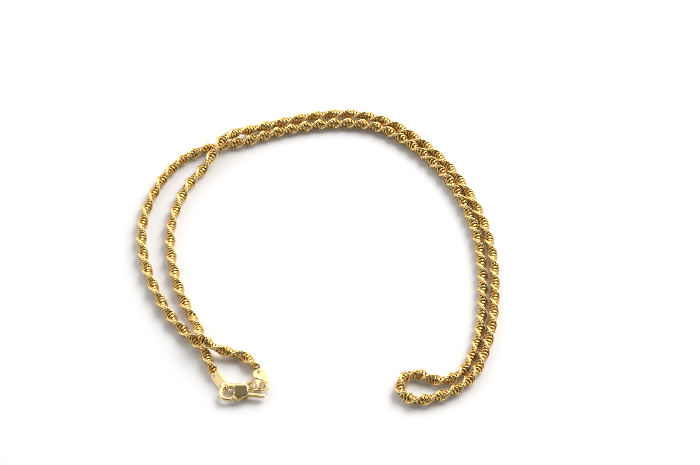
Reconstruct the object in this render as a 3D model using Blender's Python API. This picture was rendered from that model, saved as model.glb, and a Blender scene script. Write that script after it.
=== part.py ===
"""A gold rope necklace with a lobster clasp, folded double and laid down in a C.

Metres, +Z up. It lies on the plane Z = 0 with the origin under the middle of its
bounding box. +X runs along the clasp from its hook to its tail, and +Y runs from
the clasp to the top of the C.
"""
import math

import bmesh
import bpy
from mathutils import Matrix, Vector

MM = 0.001

# Air between two separate pieces.
GAP = 0.3 * MM

# The rope chain, drawn as the tube that its links fill.
CHAIN_DIAMETER = 2.3 * MM
CHAIN_POINT_SPACING = 6.3 * MM
CHAIN_TURN_PER_POINT = math.radians(26)
ROUTE_STEPS = 24

# The clasp, seen from above with the centre of its eye as its own zero.
EYE_CENTRE = Vector((-19.4, -39.1)) * MM
EYE_RADIUS = 1.3 * MM
HOOK_TIP_ANGLE = math.radians(-58)
HOOK_TIP_WIDTH = 0.6 * MM
HOOK_WIDTH = 0.85 * MM
HOOK_THICKNESS = 1.0 * MM
SPINE_WIDTH = 1.1 * MM
SPINE_THICKNESS = 2.4 * MM
SPINE_FULL_AT = 1.9 * MM
CLASP_THICKNESS = 2.6 * MM
CHEEK_THICKNESS = 0.55 * MM
CHEEK_HEEL = Vector((2.1, -1.5)) * MM
TAIL_CENTRE = Vector((4.8, 1.7)) * MM
TAIL_HOLE_RADIUS = 0.75 * MM
TAIL_RIM = 0.45 * MM
TAIL_THICKNESS = 0.8 * MM

# The clasp's lever, which closes the eye and turns on a riveted pin.
PIVOT = Vector((3.4, -0.25)) * MM
PIN_RADIUS = 0.3 * MM
PIN_CLEARANCE = 0.2 * MM
HUB_RIM = 0.3 * MM
GATE_GAP = 0.15 * MM
LEVER_HEEL = Vector((2.2, -2.0)) * MM
LEVER_INNER_ANGLE = math.radians(-14)
THUMB_TAB_END = Vector((7.8, -0.75)) * MM
THUMB_TAB_WIDTH = 0.6 * MM
THUMB_TAB_END_RADIUS = 0.42 * MM

# The two end tags: flat links with a large hole for the clasp or the jump ring
# and a small one for the last link of the rope.
TAG_LENGTH = 6.0 * MM
TAG_WIDTH = 2.9 * MM
TAG_THICKNESS = 0.4 * MM
TAG_HOLE_RADIUS = 1.05 * MM
TAG_LINK_HOLE_RADIUS = 0.5 * MM
TAG_LINK_HOLE_INSET = 1.1 * MM
HOOKED_TAG_HEADING = math.radians(124)
HOOKED_TAG_ROLL = math.radians(-55)
RING_TAG_HEADING = math.radians(109)
RING_TAG_HEIGHT = 1.2 * MM

# The jump ring, which leans back from the camera side.
RING_WIRE = 0.55 * MM
RING_DIAMETER = 3.5 * MM
RING_LEAN = math.radians(69)

EDGE_ROUNDING = 0.1 * MM

# Route of the rope from the hooked tag to the ring's tag: x and y in millimetres,
# and how far the strand is lifted there, in chain diameters plus the gap.
ROUTE = [
    (-24.6, -29.8, 0), (-26.2, -26.9, 0), (-29.4, -23.6, 0), (-33.3, -18.9, 0),
    (-37.0, -12.5, 0), (-39.7, -5.7, 0), (-41.4, 1.7, 0), (-41.5, 8.3, 0), (-40.0, 14.9, 0),
    (-37.0, 21.6, 0), (-32.7, 26.9, 0), (-27.8, 29.9, 0), (-22.6, 31.2, 0),
    (-17.4, 32.5, 0), (-11.6, 34.7, 0), (-5.4, 36.5, 0), (1.4, 37.7, 0),
    (8.2, 38.0, 0), (14.9, 36.6, 0), (20.5, 33.2, 0), (25.5, 28.7, 0),
    (29.8, 23.5, 0), (33.3, 17.7, 0), (36.1, 11.0, 0), (38.0, 3.8, 0),
    (38.8, -4.7, 0), (38.7, -13.2, 0), (37.8, -21.4, 0), (35.95, -28.5, 0),
    (32.75, -34.0, 0), (28.1, -35.8, 0), (23.6, -34.2, 0), (20.5, -34.7, 0),
    (19.1, -37.3, 0), (20.3, -39.9, 0), (23.3, -40.9, 0), (27.8, -39.9, 0),
    (31.9, -38.0, 0), (36.0, -34.0, 0), (38.7, -27.9, 0), (40.7, -19.9, 0),
    (41.6, -11.3, 0), (41.5, -2.3, 0), (40.2, 5.7, 0), (37.8, 13.3, 0),
    (34.4, 20.4, 0), (30.0, 27.0, 0), (24.6, 32.8, 0), (18.6, 37.5, 0),
    (12.1, 40.2, 0), (5.0, 40.9, 0), (-2.2, 40.0, 0), (-9.0, 38.2, 0),
    (-15.4, 36.2, 0.05), (-20.1, 34.0, 0.6), (-23.1, 31.2, 1), (-25.2, 27.9, 0.6),
    (-27.7, 24.0, 0.05), (-30.9, 19.5, 0), (-33.3, 13.7, 0), (-34.7, 7.3, 0),
    (-34.6, 0.7, 0), (-33.4, -6.1, 0), (-31.4, -12.6, 0), (-28.6, -18.9, 0),
    (-27.2, -22.2, 0.62), (-25.8, -26.0, 1.0), (-22.9, -27.8, 0.55),
    (-19.6, -28.4, 0.06), (-16.0, -29.6, 0),
]

MID_HEIGHT = CLASP_THICKNESS / 2
LEVER_THICKNESS = CLASP_THICKNESS - 2 * CHEEK_THICKNESS - 2 * GAP
HUB_RADIUS = PIN_RADIUS + PIN_CLEARANCE + HUB_RIM


def clear_scene():
    for item in list(bpy.data.objects):
        bpy.data.objects.remove(item)


def gold(name, colour, roughness):
    """A polished gold with the given linear colour."""
    material = bpy.data.materials.new(name)
    material.use_nodes = True
    shader = material.node_tree.nodes["Principled BSDF"]
    shader.inputs["Base Color"].default_value = (*colour, 1)
    shader.inputs["Metallic"].default_value = 1
    shader.inputs["Roughness"].default_value = roughness
    return material


def add_mesh(name, bm, material, smooth_below=math.radians(40)):
    """Turn a bmesh into an object whose round sides are shaded smooth."""
    bmesh.ops.recalc_face_normals(bm, faces=bm.faces)
    mesh = bpy.data.meshes.new(name)
    bm.to_mesh(mesh)
    bm.free()
    mesh.shade_smooth()
    mesh.set_sharp_from_angle(angle=smooth_below)
    mesh.materials.append(material)
    thing = bpy.data.objects.new(name, mesh)
    bpy.context.scene.collection.objects.link(thing)
    return thing


def arc(centre, radius, start, end, steps):
    """Points on an arc from one angle to another, both ends included."""
    points = []
    for step in range(steps + 1):
        angle = start + (end - start) * step / steps
        points.append(centre + radius * Vector((math.cos(angle), math.sin(angle))))
    return points


def smooth_row(points, steps):
    """A close row of points on a smooth curve through a few."""
    ends = [2 * points[0] - points[1]] + points + [2 * points[-1] - points[-2]]
    row = []
    for p0, p1, p2, p3 in zip(ends, ends[1:], ends[2:], ends[3:]):
        t1 = (p1 - p0).length ** 0.5
        t2 = t1 + (p2 - p1).length ** 0.5
        t3 = t2 + (p3 - p2).length ** 0.5
        for step in range(steps):
            t = t1 + (t2 - t1) * step / steps
            a1 = p0.lerp(p1, t / t1)
            a2 = p1.lerp(p2, (t - t1) / (t2 - t1))
            a3 = p2.lerp(p3, (t - t2) / (t3 - t2))
            b1 = a1.lerp(a2, t / t2)
            b2 = a2.lerp(a3, (t - t1) / (t3 - t1))
            row.append(b1.lerp(b2, (t - t1) / (t2 - t1)))
    row.append(points[-1])
    return row


def on_eye(radius, angle):
    return radius * Vector((math.cos(angle), math.sin(angle)))


def smooth_between(low, high, share):
    share = min(max(share, 0), 1)
    return low + (high - low) * share * share * (3 - 2 * share)


def drawn_in(outline, distance):
    """The outline with each point moved inwards by a distance."""
    befores = outline[-1:] + outline[:-1]
    afters = outline[1:] + outline[:1]
    turning = sum(here.x * after.y - after.x * here.y for here, after in zip(outline, afters))
    side = math.copysign(distance, turning)
    moved = []
    for before, here, after in zip(befores, outline, afters):
        along = ((here - before).normalized() + (after - here).normalized()).normalized()
        moved.append(here + Vector((-along.y, along.x)) * side)
    return moved


def bridged(bm, loops):
    """Close a row of vertex loops into one solid."""
    for near, far in zip(loops, loops[1:]):
        for i in range(len(near)):
            j = (i + 1) % len(near)
            bm.faces.new((near[i], near[j], far[j], far[i]))
    bm.faces.new(loops[0])
    bm.faces.new(loops[-1])


def plate(outline, low, high, rounding):
    """A flat plate between two heights, with its rim rounded, as a bmesh."""
    bm = bmesh.new()
    corner = [(rounding * (1 - math.cos(turn)), rounding * (1 - math.sin(turn)))
              for turn in (0, math.pi / 4, math.pi / 2)]
    levels = [(low + rise, inset) for rise, inset in corner]
    levels += [(high - rise, inset) for rise, inset in reversed(corner)]
    loops = []
    for level, inset in levels:
        row = drawn_in(outline, inset)
        loops.append([bm.verts.new((p.x, p.y, level)) for p in row])
    bridged(bm, loops)
    return bm


def turned_ring(centre_radius, half_width, half_height, sides, steps):
    """A ring round Z with an oval section, as a bmesh."""
    bm = bmesh.new()
    section = []
    for side in range(sides):
        angle = 2 * math.pi * side / sides
        spot = (centre_radius + half_width * math.cos(angle), 0, half_height * math.sin(angle))
        section.append(bm.verts.new(spot))
    edges = [bm.edges.new((section[i], section[(i + 1) % sides])) for i in range(sides)]
    bmesh.ops.spin(bm, geom=edges, angle=2 * math.pi, steps=steps, axis=(0, 0, 1),
                   cent=(0, 0, 0), use_merge=True)
    bmesh.ops.remove_doubles(bm, verts=bm.verts, dist=0.001 * MM)
    return bm


def swept_bar(stations, sides):
    """A closed bar through (place, heading, width, thickness) stations in a plane."""
    bm = bmesh.new()
    loops = []
    for place, heading, width, thickness in stations:
        across = Vector((-math.sin(heading), math.cos(heading)))
        loop = []
        for side in range(sides):
            angle = 2 * math.pi * side / sides
            c, s = math.cos(angle), math.sin(angle)
            reach = math.copysign(abs(c) ** 0.6, c) * width / 2
            rise = math.copysign(abs(s) ** 0.6, s) * thickness / 2
            spot = place + across * reach
            loop.append(bm.verts.new((spot.x, spot.y, rise)))
        loops.append(loop)
    bridged(bm, loops)
    return bm


def hook_and_spine_stations():
    """The hook round the eye, thickening into the straight spine."""
    stations = []
    steps = 26
    sweep = HOOK_TIP_ANGLE + math.radians(270)
    for step in range(steps):
        share = step / steps
        angle = HOOK_TIP_ANGLE - sweep * share
        if share < 0.35:
            width = smooth_between(HOOK_TIP_WIDTH, HOOK_WIDTH, share / 0.35)
        else:
            width = smooth_between(HOOK_WIDTH, SPINE_WIDTH, (share - 0.6) / 0.4)
        place = on_eye(EYE_RADIUS + width / 2, angle)
        thickness = HOOK_THICKNESS * smooth_between(0.85, 1, share / 0.2)
        stations.append((place, angle - math.pi / 2, width, thickness))
    level = EYE_RADIUS + SPINE_WIDTH / 2
    tail_start = TAIL_CENTRE.x - TAIL_HOLE_RADIUS - TAIL_RIM / 2
    steps = 9
    for step in range(steps + 1):
        x = tail_start * step / steps
        drop = smooth_between(level, TAIL_CENTRE.y - 0.1 * SPINE_WIDTH, x / tail_start)
        thickness = smooth_between(HOOK_THICKNESS, SPINE_THICKNESS, x / SPINE_FULL_AT)
        if x > tail_start - HUB_RADIUS:
            share = (x - tail_start + HUB_RADIUS) / HUB_RADIUS
            thickness = smooth_between(SPINE_THICKNESS, TAIL_THICKNESS, share)
        stations.append((Vector((x, drop)), 0, SPINE_WIDTH, thickness))
    return stations


def cheek_outline():
    """One cheek: round the eye, down past the lever's hub and back to the spine."""
    round_eye = arc(Vector((0, 0)), EYE_RADIUS, math.radians(38), math.radians(-30), 12)
    round_hub = arc(PIVOT, HUB_RADIUS + GAP, math.radians(-70), math.radians(20), 8)
    low_edge = smooth_row([round_eye[-1], CHEEK_HEEL, round_hub[0]], 6)
    roof = EYE_RADIUS + SPINE_WIDTH / 2
    tail_side = Vector((round_hub[-1].x - GAP, roof))
    shoulder = Vector((SPINE_FULL_AT, roof))
    return round_eye + low_edge[1:-1] + round_hub + [tail_side, shoulder]


def clasp_placed(thing):
    thing.location = (EYE_CENTRE.x, EYE_CENTRE.y, MID_HEIGHT)
    return thing


def add_to(body, bm, name, material):
    """Join a closed shape to the clasp's body by a Boolean union."""
    tool = clasp_placed(add_mesh(name, bm, material))
    tool.hide_render = True
    tool.display_type = "WIRE"
    union = body.modifiers.new(name, "BOOLEAN")
    union.operation = "UNION"
    union.object = tool


def make_clasp_body(material):
    """Hook, spine, two cheeks, riveted pin and tail loop, soldered as one."""
    frame = swept_bar(hook_and_spine_stations(), 16)
    body = clasp_placed(add_mesh("clasp_body", frame, material))
    half = CLASP_THICKNESS / 2
    outline = cheek_outline()
    upper = plate(outline, half - CHEEK_THICKNESS, half, EDGE_ROUNDING)
    add_to(body, upper, "upper_cheek", material)
    lower = plate(outline, -half, CHEEK_THICKNESS - half, EDGE_ROUNDING)
    add_to(body, lower, "lower_cheek", material)
    pin = bmesh.new()
    bmesh.ops.create_cone(pin, cap_ends=True, segments=20, radius1=PIN_RADIUS, radius2=PIN_RADIUS,
                          depth=CLASP_THICKNESS - CHEEK_THICKNESS)
    bmesh.ops.translate(pin, verts=pin.verts, vec=(PIVOT.x, PIVOT.y, 0))
    add_to(body, pin, "pivot_pin", material)
    loop = turned_ring(TAIL_HOLE_RADIUS + TAIL_RIM / 2, TAIL_RIM / 2, TAIL_THICKNESS / 2, 12, 32)
    bmesh.ops.translate(loop, verts=loop.verts, vec=(TAIL_CENTRE.x, TAIL_CENTRE.y, 0))
    add_to(body, loop, "tail_loop", material)
    return body


def lever_outline():
    """The lever from the eye's edge out to its thumb tab and back over the hub."""
    gate_angle = HOOK_TIP_ANGLE + GATE_GAP / (EYE_RADIUS + HOOK_TIP_WIDTH / 2)
    inner = arc(Vector((0, 0)), EYE_RADIUS, LEVER_INNER_ANGLE, gate_angle, 6)
    outer = on_eye(EYE_RADIUS + HOOK_TIP_WIDTH, gate_angle)
    along = (THUMB_TAB_END - PIVOT).normalized()
    across = Vector((-along.y, along.x))
    heading = math.atan2(along.y, along.x)
    tab_end = arc(THUMB_TAB_END, THUMB_TAB_END_RADIUS, heading - math.radians(125),
                  heading + math.radians(125), 14)
    tab_root = PIVOT + along * (HUB_RADIUS + GAP)
    low_root = tab_root - across * THUMB_TAB_WIDTH / 2
    under_hub = PIVOT - across * (HUB_RADIUS + GAP)
    low_edge = smooth_row([outer, LEVER_HEEL, under_hub, low_root], 5)
    hub_top = arc(PIVOT, HUB_RADIUS, heading + math.radians(45), heading + math.radians(165), 12)
    return inner + low_edge + tab_end + [tab_root + across * THUMB_TAB_WIDTH / 2] + hub_top


def make_clasp_lever(material):
    """The spring lever, with its origin on the pin and a bore that clears it."""
    outline = [p - PIVOT for p in lever_outline()]
    half = LEVER_THICKNESS / 2
    shape = plate(outline, -half, half, EDGE_ROUNDING)
    lever = add_mesh("clasp_lever", shape, material)
    lever.location = (EYE_CENTRE.x + PIVOT.x, EYE_CENTRE.y + PIVOT.y, MID_HEIGHT)
    cutter_shape = bmesh.new()
    bore = PIN_RADIUS + PIN_CLEARANCE
    bmesh.ops.create_cone(cutter_shape, cap_ends=True, segments=24, radius1=bore, radius2=bore,
                          depth=CLASP_THICKNESS)
    cutter = add_mesh("lever_bore", cutter_shape, material)
    cutter.location = lever.location
    cutter.hide_render = True
    cutter.display_type = "WIRE"
    cut = lever.modifiers.new("bore", "BOOLEAN")
    cut.operation = "DIFFERENCE"
    cut.object = cutter
    return lever


def tag_shape():
    """A tag with its large hole at zero and its small hole towards +X."""
    half = TAG_WIDTH / 2
    far = TAG_LENGTH - TAG_WIDTH
    quarter = math.pi / 2
    outline = arc(Vector((far, 0)), half, -quarter, quarter, 16)
    outline += arc(Vector((0, 0)), half, quarter, 3 * quarter, 16)
    return plate(outline, -TAG_THICKNESS / 2, TAG_THICKNESS / 2, EDGE_ROUNDING)


def make_tag(name, place, heading, roll, material):
    """An end tag with its large hole at a place, running off along a heading."""
    pose = Matrix.Translation(place) @ Matrix.Rotation(heading, 4, "Z") @ Matrix.Rotation(roll, 4, "X")
    tag = add_mesh(name, tag_shape(), material)
    tag.matrix_world = pose
    link_hole = TAG_LENGTH - TAG_WIDTH / 2 - TAG_LINK_HOLE_INSET
    holes = [("large_hole", TAG_HOLE_RADIUS, 0), ("link_hole", TAG_LINK_HOLE_RADIUS, link_hole)]
    for label, radius, along in holes:
        shape = bmesh.new()
        bmesh.ops.create_cone(shape, cap_ends=True, segments=32, radius1=radius, radius2=radius,
                              depth=5 * TAG_THICKNESS)
        cutter = add_mesh(name + "_" + label, shape, material)
        cutter.matrix_world = pose @ Matrix.Translation((along, 0, 0))
        cutter.hide_render = True
        cutter.display_type = "WIRE"
        cut = tag.modifiers.new(label, "BOOLEAN")
        cut.operation = "DIFFERENCE"
        cut.object = cutter
    return tag


def tag_link_end(place, heading):
    """The middle of a tag's end on the rope's side."""
    along = Vector((math.cos(heading), math.sin(heading), 0))
    return place + along * (TAG_LENGTH - TAG_WIDTH / 2)


def hooked_tag_place():
    """Where the hook passes the tag's hole, with the tag pulled outwards."""
    reach = EYE_RADIUS - GAP + TAG_HOLE_RADIUS
    spot = EYE_CENTRE + on_eye(reach, HOOKED_TAG_HEADING)
    return Vector((spot.x, spot.y, MID_HEIGHT))


def ring_centre_and_angle(level):
    """The jump ring's centre, and how far round from its lowest point it meets a level."""
    radius = RING_DIAMETER / 2
    lowest = RING_WIRE / 2
    centre_height = lowest + radius * math.sin(RING_LEAN)
    at_tail = math.acos((centre_height - MID_HEIGHT) / (radius * math.sin(RING_LEAN)))
    tail = EYE_CENTRE + TAIL_CENTRE
    centre = Vector((tail.x + radius * math.sin(at_tail),
                     tail.y + radius * math.cos(at_tail) * math.cos(RING_LEAN),
                     centre_height))
    return centre, math.acos((centre_height - level) / (radius * math.sin(RING_LEAN)))


def make_jump_ring(material):
    """A round wire ring through the tail loop and the second tag."""
    centre, _ = ring_centre_and_angle(MID_HEIGHT)
    shape = turned_ring(RING_DIAMETER / 2, RING_WIRE / 2, RING_WIRE / 2, 10, 40)
    ring = add_mesh("jump_ring", shape, material)
    ring.location = centre
    ring.rotation_euler = (RING_LEAN, 0, 0)
    return ring


def ring_tag_place():
    """Where the ring passes the second tag's hole, with the tag pulled back."""
    radius = RING_DIAMETER / 2
    centre, angle = ring_centre_and_angle(RING_TAG_HEIGHT)
    wire = Vector((centre.x + radius * math.sin(angle),
                   centre.y - radius * math.cos(angle) * math.cos(RING_LEAN),
                   RING_TAG_HEIGHT))
    slack = TAG_HOLE_RADIUS - RING_WIRE / 2 - GAP
    along = Vector((math.cos(RING_TAG_HEADING), math.sin(RING_TAG_HEADING), 0))
    return wire + along * slack


def thin_out(row):
    """Keep a point after every few diameters, and more where the route turns."""
    kept = [row[0]]
    walked = 0
    heading = (row[1] - row[0]).normalized()
    for last, here in zip(row, row[1:-1]):
        step = here - last
        walked += step.length
        turned = heading.angle(step)
        if walked > CHAIN_POINT_SPACING or turned > CHAIN_TURN_PER_POINT:
            kept.append(here)
            walked = 0
            heading = step.normalized()
    kept.append(row[-1])
    return kept


def make_chain(start, end, material):
    """The rope from one tag's end to the other's, as one tube."""
    radius = CHAIN_DIAMETER / 2
    route = [Vector((x * MM, y * MM, radius + lift * (CHAIN_DIAMETER + GAP)))
             for x, y, lift in ROUTE]
    first = start + (route[0] - start).normalized() * GAP
    last = end + (route[-1] - end).normalized() * GAP
    first.z = radius
    last.z = radius
    row = thin_out(smooth_row([first] + route + [last], ROUTE_STEPS))
    for place in row:
        place.z = max(place.z, radius)
    curve = bpy.data.curves.new("rope_chain", "CURVE")
    curve.dimensions = "3D"
    curve.bevel_depth = radius
    curve.bevel_resolution = 2
    curve.use_fill_caps = True
    curve.materials.append(material)
    spline = curve.splines.new("POLY")
    spline.points.add(len(row) - 1)
    for point, place in zip(spline.points, row):
        point.co = (*place, 1)
    chain = bpy.data.objects.new("rope_chain", curve)
    bpy.context.scene.collection.objects.link(chain)
    return chain


def main():
    clear_scene()
    rope_gold = gold("rope_gold", (0.72, 0.45, 0.13), 0.25)
    clasp_gold = gold("clasp_gold", (0.80, 0.58, 0.26), 0.18)
    make_clasp_body(clasp_gold)
    make_clasp_lever(clasp_gold)
    make_jump_ring(clasp_gold)
    hooked = hooked_tag_place()
    on_ring = ring_tag_place()
    make_tag("hooked_end_tag", hooked, HOOKED_TAG_HEADING, HOOKED_TAG_ROLL, clasp_gold)
    make_tag("ring_end_tag", on_ring, RING_TAG_HEADING, 0, clasp_gold)
    make_chain(tag_link_end(hooked, HOOKED_TAG_HEADING),
               tag_link_end(on_ring, RING_TAG_HEADING), rope_gold)
    bpy.context.view_layer.update()


main()
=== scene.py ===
"""A gold rope necklace with a lobster clasp, lying closed and folded double on a
white surface.
"""
import math

import bmesh
import bpy
import numpy
from mathutils import Matrix, Quaternion, Vector


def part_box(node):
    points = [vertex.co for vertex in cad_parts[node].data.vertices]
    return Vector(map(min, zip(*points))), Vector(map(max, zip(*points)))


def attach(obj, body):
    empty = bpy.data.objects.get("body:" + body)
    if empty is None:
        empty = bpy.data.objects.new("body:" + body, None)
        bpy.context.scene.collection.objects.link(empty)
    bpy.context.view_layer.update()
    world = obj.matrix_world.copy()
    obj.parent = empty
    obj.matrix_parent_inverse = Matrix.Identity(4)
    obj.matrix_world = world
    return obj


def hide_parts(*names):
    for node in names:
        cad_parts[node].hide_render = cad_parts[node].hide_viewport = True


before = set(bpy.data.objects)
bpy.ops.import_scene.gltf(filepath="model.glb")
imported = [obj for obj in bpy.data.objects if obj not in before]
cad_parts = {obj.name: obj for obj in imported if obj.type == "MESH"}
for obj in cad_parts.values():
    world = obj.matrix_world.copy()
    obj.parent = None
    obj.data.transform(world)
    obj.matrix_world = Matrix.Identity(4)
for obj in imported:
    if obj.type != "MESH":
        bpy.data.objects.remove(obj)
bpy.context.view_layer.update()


# Rope chain: round wire rings of solid gold, each linked through several of its
# neighbours, so that they lie in two rows that twist about each other. The links
# are soldered shut one by one, and the finished rope is polished.

ROPE_DIAMETER = 0.00272
WIRE_THICKNESS = 0.00048
WIRE_WIDTH = 0.00050
WIRE_SIDES = 5
RING_SIDES = 14
# From one ring of a row to the next, from the rope's middle to a ring's, and how
# far a ring leans from square across the rope.
RING_SPACING = 0.00066
RING_OFFSET = 0.00018
RING_TILT = math.radians(-47)
# The wire's base colour carries painted shade, a deeper gold, this near the rope's middle,
# and its plain outer gold from this far out.
PAINTED_SHADE_RADIUS = 0.00050
UNSHADED_RADIUS = 0.00115
ROPE_PIECES = 3

# Route of the rope from the hooked tag to the ring's tag: x and y in millimetres,
# and how far the strand is lifted there, as a share of LIFT_HEIGHT.
ROUTE = [
    (-23.2, -33.35, 0),
    (-24.6, -29.8, 0), (-26.2, -26.9, 0), (-29.4, -23.6, 0), (-33.3, -18.9, 0),
    (-37.0, -12.5, 0), (-39.7, -5.7, 0), (-41.4, 1.7, 0), (-41.5, 8.3, 0), (-40.0, 14.9, 0),
    (-37.0, 21.6, 0), (-32.7, 26.9, 0), (-27.8, 29.9, 0), (-22.6, 31.2, 0),
    (-17.4, 32.5, 0), (-11.6, 34.7, 0), (-5.4, 36.5, 0), (1.4, 37.7, 0),
    (8.2, 38.0, 0), (14.9, 36.6, 0), (20.5, 33.2, 0), (25.5, 28.7, 0),
    (29.8, 23.5, 0), (33.3, 17.7, 0), (36.1, 11.0, 0), (38.0, 3.8, 0),
    (38.8, -4.7, 0), (38.7, -13.2, 0), (37.8, -21.4, 0), (35.95, -28.5, 0),
    (32.75, -34.0, 0), (28.1, -35.8, 0), (23.6, -34.2, 0), (20.5, -34.7, 0),
    (19.1, -37.3, 0), (20.3, -39.9, 0), (23.3, -40.9, 0), (27.8, -39.9, 0),
    (31.9, -38.0, 0), (36.0, -34.0, 0), (38.7, -27.9, 0), (40.7, -19.9, 0),
    (41.6, -11.3, 0), (41.5, -2.3, 0), (40.2, 5.7, 0), (37.8, 13.3, 0),
    (34.4, 20.4, 0), (30.0, 27.0, 0), (24.6, 32.8, 0), (18.6, 37.5, 0),
    (12.1, 40.2, 0), (5.0, 40.9, 0), (-2.2, 40.0, 0), (-9.0, 38.2, 0),
    (-15.4, 36.2, 0.05), (-20.1, 34.0, 0.6), (-23.1, 31.2, 1), (-25.2, 27.9, 0.6),
    (-27.7, 24.0, 0.05), (-30.9, 19.5, 0), (-33.3, 13.7, 0), (-34.7, 7.3, 0),
    (-34.6, 0.7, 0), (-33.4, -6.1, 0), (-31.4, -12.6, 0), (-28.6, -18.9, 0),
    (-27.2, -22.2, 0.62), (-25.8, -26.0, 1.0), (-22.9, -27.8, 0.55),
    (-19.6, -28.4, 0.06), (-16.0, -29.6, 0),
    (-13.24, -32.47, 0),
]
LIFT_HEIGHT = 0.00230
ROUTE_STEPS = 24

# How far the rope goes, in millimetres, for half a turn of its twist, at a
# distance along it.
HALF_TURNS = [
    (0, 4.2), (10, 4.6), (22, 5.0), (40, 4.7), (55, 4.5), (70, 3.6), (150, 3.45),
    (180, 3.7), (245, 3.8), (262, 4.0), (280, 4.6), (320, 4.2), (370, 4.5), (440, 4.8),
]


def smooth_row(points, steps):
    """A close row of points on a smooth curve through a few, with steps between two."""
    ends = [2 * points[0] - points[1]] + points + [2 * points[-1] - points[-2]]
    row = []
    for p0, p1, p2, p3 in zip(ends, ends[1:], ends[2:], ends[3:]):
        t1 = (p1 - p0).length ** 0.5
        t2 = t1 + (p2 - p1).length ** 0.5
        t3 = t2 + (p3 - p2).length ** 0.5
        for step in range(steps):
            t = t1 + (t2 - t1) * step / steps
            a1 = p0.lerp(p1, t / t1)
            a2 = p1.lerp(p2, (t - t1) / (t2 - t1))
            a3 = p2.lerp(p3, (t - t2) / (t3 - t2))
            b1 = a1.lerp(a2, t / t2)
            b2 = a2.lerp(a3, (t - t1) / (t3 - t1))
            row.append(b1.lerp(b2, (t - t1) / (t2 - t1)))
    row.append(points[-1])
    return row


def between(table, here):
    """A value read from a table of (place, value) by straight lines."""
    for (low, first), (high, second) in zip(table, table[1:]):
        if here <= high:
            return first + (second - first) * (here - low) / (high - low)
    return table[-1][1]


def rope_stations(row, spacing):
    """Evenly spaced (place, heading, side) along a row, with the side not twisting."""
    heading = (row[1] - row[0]).normalized()
    side = heading.cross(Vector((0, 0, 1))).normalized()
    stations = []
    walked = 0
    due = 0
    for here, after in zip(row, row[1:]):
        step = (after - here).length
        turned = heading.rotation_difference(after - here)
        heading = (after - here).normalized()
        side = turned @ side
        side = (side - heading * side.dot(heading)).normalized()
        while due <= walked + step:
            stations.append((here.lerp(after, (due - walked) / step), heading, side))
            due += spacing
        walked += step
    return stations


def wire_ring(radius, thickness, width, ring_sides, wire_sides):
    """Points and faces of a ring round +Z, bent from wire with an oval section."""
    ring = bmesh.new()
    section = bmesh.ops.create_circle(ring, segments=wire_sides, radius=1)["verts"]
    bmesh.ops.scale(ring, verts=section, vec=(thickness / 2, width / 2, 1))
    upright = Matrix.Rotation(math.pi / 2, 3, "X")
    bmesh.ops.rotate(ring, verts=section, cent=(0, 0, 0), matrix=upright)
    bmesh.ops.translate(ring, verts=section, vec=(radius, 0, 0))
    bmesh.ops.spin(ring, geom=ring.edges[:], angle=2 * math.pi, steps=ring_sides,
                   axis=(0, 0, 1), cent=(0, 0, 0), use_merge=True)
    bmesh.ops.remove_doubles(ring, verts=ring.verts, dist=thickness / 1000)
    bmesh.ops.recalc_face_normals(ring, faces=ring.faces)
    ring.verts.index_update()
    points = numpy.array([vert.co for vert in ring.verts])
    # A spin starts each face at any of its corners. Here it starts at the lowest, so
    # that every run gives the same mesh.
    faces = []
    for face in ring.faces:
        corners = [vert.index for vert in face.verts]
        first = corners.index(min(corners))
        faces.append(corners[first:] + corners[:first])
    ring.free()
    return points, numpy.array(sorted(faces))


def sheet_colour(code):
    """An sRGB hex colour as linear values with alpha."""
    values = [int(code[i:i + 2], 16) / 255 for i in (1, 3, 5)]
    linear = [v / 12.92 if v <= 0.04045 else ((v + 0.055) / 1.055) ** 2.4 for v in values]
    return (*linear, 1)


def add_node(tree, kind, settings=None, inputs=None):
    """Add a node with its settings, and set or link its inputs."""
    node = tree.nodes.new(kind)
    for name, value in (settings or {}).items():
        setattr(node, name, value)
    for name, value in (inputs or {}).items():
        if isinstance(value, bpy.types.NodeSocket):
            tree.links.new(value, node.inputs[name])
        else:
            node.inputs[name].default_value = value
    return node


# Polished yellow gold in thin wire: small sharp highlights on the outer bends, and
# painted shade further in: a deeper, redder base colour near the rope's middle,
# where the wires mirror only each other.
polished_wire = bpy.data.materials.new("polished_gold_wire")
polished_wire.use_nodes = True
wire_tree = polished_wire.node_tree
wire_shader = wire_tree.nodes["Principled BSDF"]
painted_shade_read = add_node(wire_tree, "ShaderNodeAttribute", {"attribute_name": "painted_shade_fade"})
# A colour mix takes its share at input 0 and its two colours at inputs 6 and 7, and
# gives the mixed colour at output 2.
# Painted shade: the first colour is the deeper gold painted into the rope's recesses, the
# second the plain outer gold.
wire_colour_and_painted_shade = add_node(wire_tree, "ShaderNodeMix", {"data_type": "RGBA"},
                       {0: painted_shade_read.outputs["Fac"],
                        6: sheet_colour("#C08C2A"), 7: sheet_colour("#F2D28E")})
wire_tree.links.new(wire_colour_and_painted_shade.outputs[2], wire_shader.inputs["Base Color"])
wire_shader.inputs["Metallic"].default_value = 1
wire_shader.inputs["Roughness"].default_value = 0.2

rope_centre = [Vector((x, y, 0)) / 1000
               + Vector((0, 0, ROPE_DIAMETER / 2 + lift * LIFT_HEIGHT))
               for x, y, lift in ROUTE]
rope_row = smooth_row(rope_centre, ROUTE_STEPS)
for place in rope_row:
    place.z = max(place.z, ROPE_DIAMETER / 2)

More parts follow.
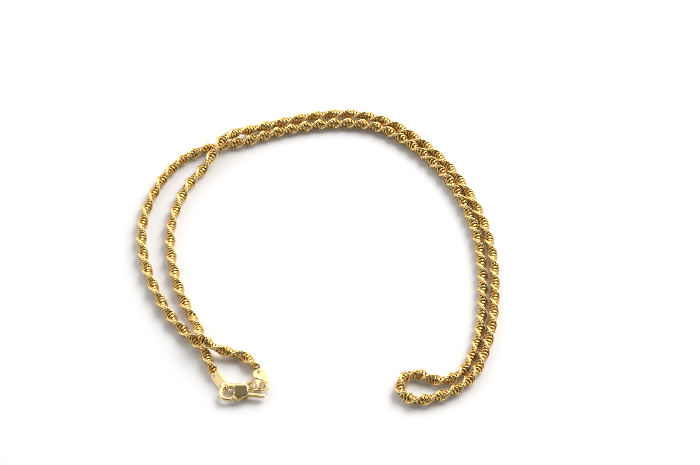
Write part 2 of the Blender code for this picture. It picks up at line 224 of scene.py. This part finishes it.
# The two rows take turns along the rope, on opposite sides of its middle.
stations = rope_stations(rope_row, RING_SPACING / 2)
ring_radius = ROPE_DIAMETER / 2 - RING_OFFSET - WIRE_THICKNESS / 2
ring_points, ring_faces = wire_ring(ring_radius, WIRE_THICKNESS, WIRE_WIDTH,
                                    RING_SIDES, WIRE_SIDES)
turned = 0
rings = []
for number, (place, heading, side) in enumerate(stations):
    half_turn = between(HALF_TURNS, number * RING_SPACING / 2 * 1000) / 1000
    turned -= math.pi * RING_SPACING / 2 / half_turn
    row_angle = math.pi * (number % 2)
    outwards = Quaternion(heading, turned + row_angle) @ side
    forwards = outwards.cross(heading)
    normal = heading * math.cos(RING_TILT) + forwards * math.sin(RING_TILT)
    across = normal.cross(outwards)
    shape = ring_points @ numpy.array((outwards, across, normal))
    shape += numpy.array(outwards) * RING_OFFSET
    along = shape @ numpy.array(heading)
    reach = numpy.sqrt((shape ** 2).sum(axis=1) - along ** 2)
    rings.append((shape + numpy.array(place), reach))

# The rope starts and ends one ring in from the ends of its route.
rings = rings[1:-1]
rings_each = math.ceil(len(rings) / ROPE_PIECES)
for number in range(ROPE_PIECES):
    own = rings[number * rings_each:(number + 1) * rings_each]
    name = "rope_links_%d" % (number + 1)
    strand_mesh = bpy.data.meshes.new(name)
    points = numpy.concatenate([shape for shape, reach in own])
    faces = numpy.concatenate([ring_faces + len(ring_points) * i for i in range(len(own))])
    strand_mesh.from_pydata(points.tolist(), [], faces.tolist())
    # Painted shade: each point's share of the outer gold grows with its distance from the
    # rope's middle, so the wires darken towards the recesses.
    painted_shade_fade = strand_mesh.attributes.new("painted_shade_fade", "FLOAT", "POINT")
    reaches = numpy.concatenate([reach for shape, reach in own])
    shade_fade_values = numpy.clip((reaches - PAINTED_SHADE_RADIUS) / (UNSHADED_RADIUS - PAINTED_SHADE_RADIUS), 0, 1)
    painted_shade_fade.data.foreach_set("value", shade_fade_values)
    strand_mesh.shade_smooth()
    strand_mesh.materials.append(polished_wire)
    piece = bpy.data.objects.new(name, strand_mesh)
    bpy.context.scene.collection.objects.link(piece)
    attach(piece, "necklace")
    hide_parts("rope_chain")


# Clasp body and lever: cast in the same gold and tumbled, so that every edge is
# rounded over, with cheeks that thin towards the lever. The spring lever turns
# between the cheeks on a riveted pin.

BODY_GRAIN = 0.06
BODY_ROUNDS = 5
LEVER_GRAIN = 0.05
LEVER_ROUNDS = 4
# The cheeks thin towards CLASP_MIDDLE from y at CHEEK_TOP down, right of x at
# CHEEK_FROM, by CHEEK_THINNING at their lower edge.
CLASP_MIDDLE = 0.0013
CHEEK_TOP = -0.0378
CHEEK_DEPTH = 0.0028
CHEEK_THINNING = 0.32
CHEEK_FROM = -0.0187
CHEEK_BLEND = 0.0008
# From one smear that the polishing leaves to the next.
SMEAR_WIDTH = 0.00083


def add_gold(name, colour, roughness, wear):
    """Polished gold whose roughness wanders by wear from one smear to the next."""
    material = bpy.data.materials.new(name)
    material.use_nodes = True
    tree = material.node_tree
    place = add_node(tree, "ShaderNodeTexCoord")
    smears = add_node(tree, "ShaderNodeTexNoise", {},
                      {"Vector": place.outputs["Object"], "Scale": 1 / SMEAR_WIDTH})
    wander = add_node(tree, "ShaderNodeMapRange", {},
                      {"Value": smears.outputs["Fac"], "From Min": 0.3, "From Max": 0.7,
                       "To Min": roughness - wear, "To Max": roughness + wear})
    shader = tree.nodes["Principled BSDF"]
    shader.inputs["Base Color"].default_value = sheet_colour(colour)
    shader.inputs["Metallic"].default_value = 1
    tree.links.new(wander.outputs[0], shader.inputs["Roughness"])
    return material


def tumbled(node, name, grain, rounds):
    """A copy of a solid with its edges rounded over, in the solid's place.

    It is cut into cells of the grain's size and rubbed smooth that many rounds, in
    millimetres, because in metres the cells can't be so small.
    """
    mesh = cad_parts[node].data.copy()
    mesh.transform(Matrix.Scale(1000, 4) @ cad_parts[node].matrix_world)
    rough = bpy.data.objects.new(name + "_rough", mesh)
    bpy.context.scene.collection.objects.link(rough)
    cells = rough.modifiers.new("cells", "REMESH")
    cells.mode = "VOXEL"
    cells.voxel_size = grain
    rub = rough.modifiers.new("rub", "SMOOTH")
    rub.factor = 0.5
    rub.iterations = rounds
    finished = rough.evaluated_get(bpy.context.evaluated_depsgraph_get())
    shape = bpy.data.meshes.new_from_object(finished)
    bpy.data.objects.remove(rough)
    shape.transform(Matrix.Scale(0.001, 4))
    shape.shade_smooth()
    shape.name = name
    return shape


# Paler gold than the wire's, with broad mirror-like highlights.
polished_cast = add_gold("polished_cast_gold", "#F0D49A", 0.15, 0.02)
body_mesh = tumbled("clasp_body", "cast_clasp_body", BODY_GRAIN, BODY_ROUNDS)
for vert in body_mesh.vertices:
    down = min(max((CHEEK_TOP - vert.co.y) / CHEEK_DEPTH, 0), 1)
    beside = min(max((vert.co.x - CHEEK_FROM) / CHEEK_BLEND, 0), 1)
    kept = 1 - CHEEK_THINNING * down * beside
    vert.co.z = CLASP_MIDDLE + (vert.co.z - CLASP_MIDDLE) * kept
lever_mesh = tumbled("clasp_lever", "cast_lever", LEVER_GRAIN, LEVER_ROUNDS)
for cast_mesh, node, body in ((body_mesh, "clasp_body", "necklace"),
                              (lever_mesh, "clasp_lever", "lever")):
    cast_mesh.materials.clear()
    cast_mesh.materials.append(polished_cast)
    piece = bpy.data.objects.new(cast_mesh.name, cast_mesh)
    bpy.context.scene.collection.objects.link(piece)
    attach(piece, body)
    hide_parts(node)


# End tags and jump ring: tags stamped from gold sheet, and a ring bent from round
# wire and soldered shut. They keep the solids' own shapes.

# The same pale gold, a little less mirror-like, so that the flat tags shine evenly.
polished_sheet = add_gold("polished_sheet_gold", "#EDD39B", 0.17, 0.02)
for node in ("hooked_end_tag", "ring_end_tag", "jump_ring"):
    for sheet_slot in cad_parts[node].material_slots:
        sheet_slot.material = polished_sheet


# Tag links: one small round ring of the same gold through each tag's small hole,
# bent from wire and soldered shut. It holds the last link of the rope.

TAG_LINK_RADIUS = 0.00066
TAG_LINK_WIRE = 0.00026
TAG_LINK_SIDES = 24
TAG_LINK_WIRE_SIDES = 8
LINK_FROM_TAG_MIDDLE = 0.00252

# Each tag link's name, its tag, and how the tag is turned and rolled.
TAGS = [
    ("hooked_tag_link", "hooked_end_tag", math.radians(124), math.radians(-55)),
    ("ring_tag_link", "ring_end_tag", math.radians(109), 0),
]

points, faces = wire_ring(TAG_LINK_RADIUS, TAG_LINK_WIRE, TAG_LINK_WIRE,
                          TAG_LINK_SIDES, TAG_LINK_WIRE_SIDES)
upright = (Matrix.Translation((LINK_FROM_TAG_MIDDLE, 0, 0))
           @ Matrix.Rotation(math.pi / 2, 4, "X"))
for name, tag, heading, roll in TAGS:
    lowest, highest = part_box(tag)
    tag_middle = (lowest + highest) / 2
    pose = (Matrix.Translation(tag_middle) @ Matrix.Rotation(heading, 4, "Z")
            @ Matrix.Rotation(roll, 4, "X"))
    link_mesh = bpy.data.meshes.new(name)
    link_mesh.from_pydata(points.tolist(), [], faces.tolist())
    link_mesh.transform(pose @ upright)
    link_mesh.shade_smooth()
    link_mesh.materials.append(polished_cast)
    piece = bpy.data.objects.new(name, link_mesh)
    bpy.context.scene.collection.objects.link(piece)
    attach(piece, "necklace")


# Surface, studio light and camera: a white table under a large soft light from
# behind on the right, seen through a long lens from 55 degrees above.

TABLE_HALF_WIDTH = 1.5
AIR_UNDER_NECKLACE = 0.00002
TOWARDS_CAMERA = (0, -0.573, 0.819)

table = bmesh.new()
bmesh.ops.create_grid(table, x_segments=1, y_segments=1, size=TABLE_HALF_WIDTH)
bmesh.ops.translate(table, verts=table.verts, vec=(0, 0, -AIR_UNDER_NECKLACE))
table_mesh = bpy.data.meshes.new("white_table")
table.to_mesh(table_mesh)
table.free()
white_table = bpy.data.objects.new("white_table", table_mesh)
bpy.context.scene.collection.objects.link(white_table)
# Matt white board, which shows only soft shadows.
white_board = bpy.data.materials.new("white_board")
white_board.use_nodes = True
board_shader = white_board.node_tree.nodes["Principled BSDF"]
board_shader.inputs["Base Color"].default_value = sheet_colour("#FAFAFA")
board_shader.inputs["Roughness"].default_value = 0.9
table_mesh.materials.append(white_board)

softbox = bpy.data.lights.new("key_light", "AREA")
softbox.size = 0.4
softbox.energy = 3.6
key_light = bpy.data.objects.new("key_light", softbox)
key_light.location = (0.35, 0.4, 0.5)
key_light.rotation_euler = (-key_light.location).to_track_quat("-Z", "Y").to_euler()
bpy.context.scene.collection.objects.link(key_light)

# A white tent that is bright all round and dark on the camera's side, which gives
# the polished gold its dark parts.
world = bpy.data.worlds.new("studio")
world.use_nodes = True
sky_tree = world.node_tree
sky = sky_tree.nodes["Background"]
direction = add_node(sky_tree, "ShaderNodeTexCoord")
towards = add_node(sky_tree, "ShaderNodeVectorMath", {"operation": "DOT_PRODUCT"},
                   {0: direction.outputs["Generated"], 1: TOWARDS_CAMERA})
tent = add_node(sky_tree, "ShaderNodeMapRange", {"interpolation_type": "SMOOTHSTEP"},
                {"Value": towards.outputs["Value"], "From Min": 0.45, "From Max": 0.7,
                 "To Min": 1.5, "To Max": 0.05})
sky_tree.links.new(tent.outputs[0], sky.inputs["Strength"])
sky.inputs["Color"].default_value = (1, 1, 1, 1)
bpy.context.scene.world = world

lens = bpy.data.cameras.new("camera")
lens.sensor_width = 36
lens.lens = 102.1
camera = bpy.data.objects.new("camera", lens)
camera.location = (0.00792, -0.26559, 0.38779)
aim = Vector((0.00792, 0.00595, 0))
camera.rotation_euler = (aim - camera.location).to_track_quat("-Z", "Y").to_euler()
bpy.context.scene.collection.objects.link(camera)
bpy.context.scene.camera = camera
bpy.context.scene.view_settings.view_transform = "Standard"
bpy.context.scene.cycles.filter_width = 1.0
# Without a prefilter the denoiser keeps the fine wires apart.
bpy.context.scene.cycles.denoising_prefilter = "NONE"
